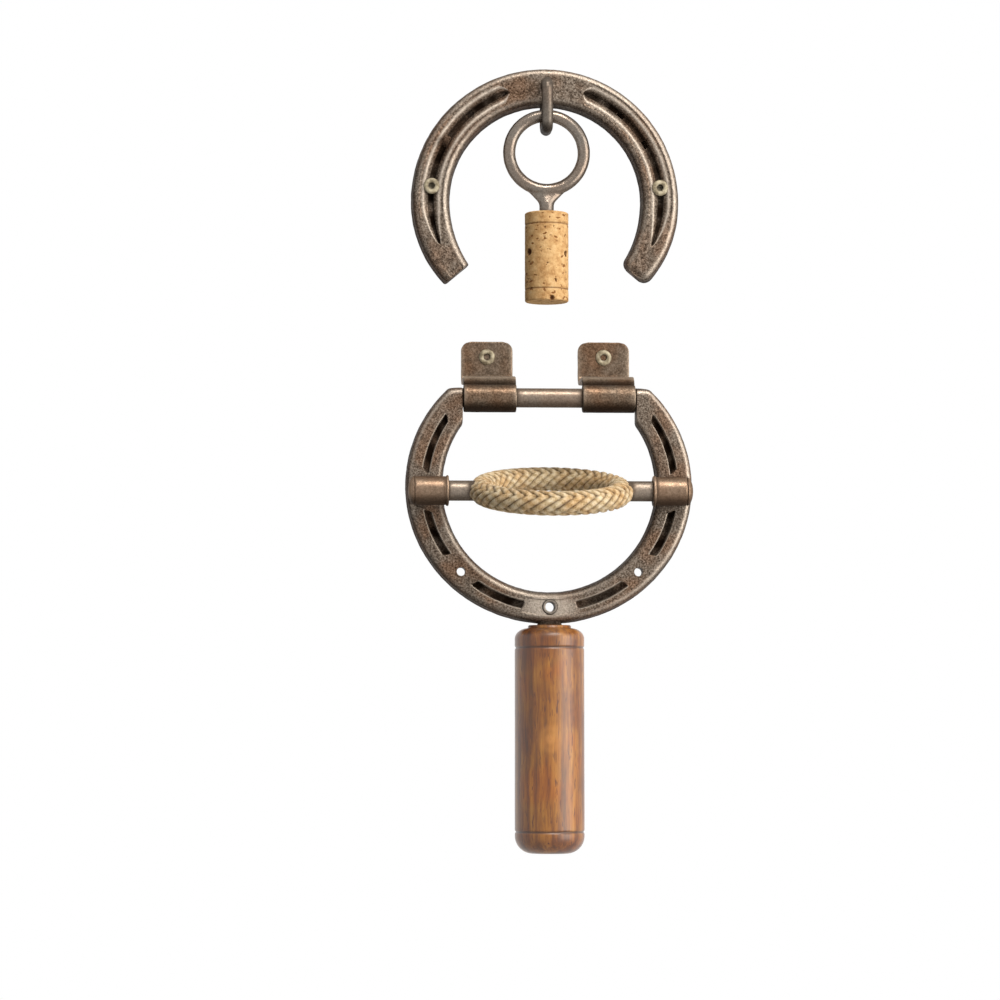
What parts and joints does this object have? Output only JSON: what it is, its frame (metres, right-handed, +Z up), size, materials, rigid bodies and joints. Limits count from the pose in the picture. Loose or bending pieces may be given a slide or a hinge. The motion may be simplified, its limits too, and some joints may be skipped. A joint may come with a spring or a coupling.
{
  "type": "wall-mounted horseshoe set",
  "caption": "Wall fitting of a fixed horseshoe with a hanging cork stopper and a hinged horseshoe that carries a swivelling rope-covered ring and a turned wooden handle.",
  "frame": {"origin": "midway between the two bracket screws, on the wall plane", "axes": "+Z up the wall, +Y into the wall, +X to the right as seen from the front"},
  "size_m": [0.1186, 0.0841, 0.3284],
  "materials": {
    "forged_steel": "antique bronze-brown, satin",
    "dark_steel": "dark pewter brown, satin",
    "sleeve_steel": "copper-brown, satin",
    "brass_screws": "pale brass with dark recesses",
    "cork": "natural cork, matt",
    "jute_rope": "braided jute, matt",
    "turned_wood": "varnished"
  },
  "bodies": {
    "wall_set": {"upper_shoe": "forged_steel", "hanging_staple": "dark_steel", "upper_screw_left": "brass_screws", "upper_screw_right": "brass_screws", "bracket_left": "forged_steel", "bracket_right": "forged_steel", "bracket_screw_left": "brass_screws", "bracket_screw_right": "brass_screws"},
    "swing_shoe": {"hinge_rod": "forged_steel", "lower_shoe": "forged_steel", "pivot_sleeve_left": "sleeve_steel", "pivot_sleeve_right": "sleeve_steel", "sleeve_cap_left": "sleeve_steel", "sleeve_cap_right": "sleeve_steel", "toe_eyelet": "dark_steel", "handle_tang": "dark_steel", "handle": "turned_wood"},
    "rope_ring": {"ring_core": "dark_steel", "rope_wrap": "jute_rope", "stub_left": "dark_steel", "stub_right": "dark_steel"},
    "stopper": {"eye_ring": "dark_steel", "cork": "cork"}
  },
  "joints": [
    {"name": "shoe_swing", "type": "hinge", "parent": "wall_set", "child": "swing_shoe", "pos_m": [0, -0.02553, -0.0194], "axis": [-1, 0, 0], "range_deg": [0, 120]},
    {"name": "ring_swivel", "type": "hinge", "parent": "swing_shoe", "child": "rope_ring", "pos_m": [0, -0.0343, -0.05843], "axis": [1, 0, 0], "continuous": true},
    {"name": "stopper_swing", "type": "hinge", "parent": "wall_set", "child": "stopper", "pos_m": [0, -0.01095, 0.0953], "axis": [0, 1, 0], "range_deg": [-18, 18]}
  ]
}
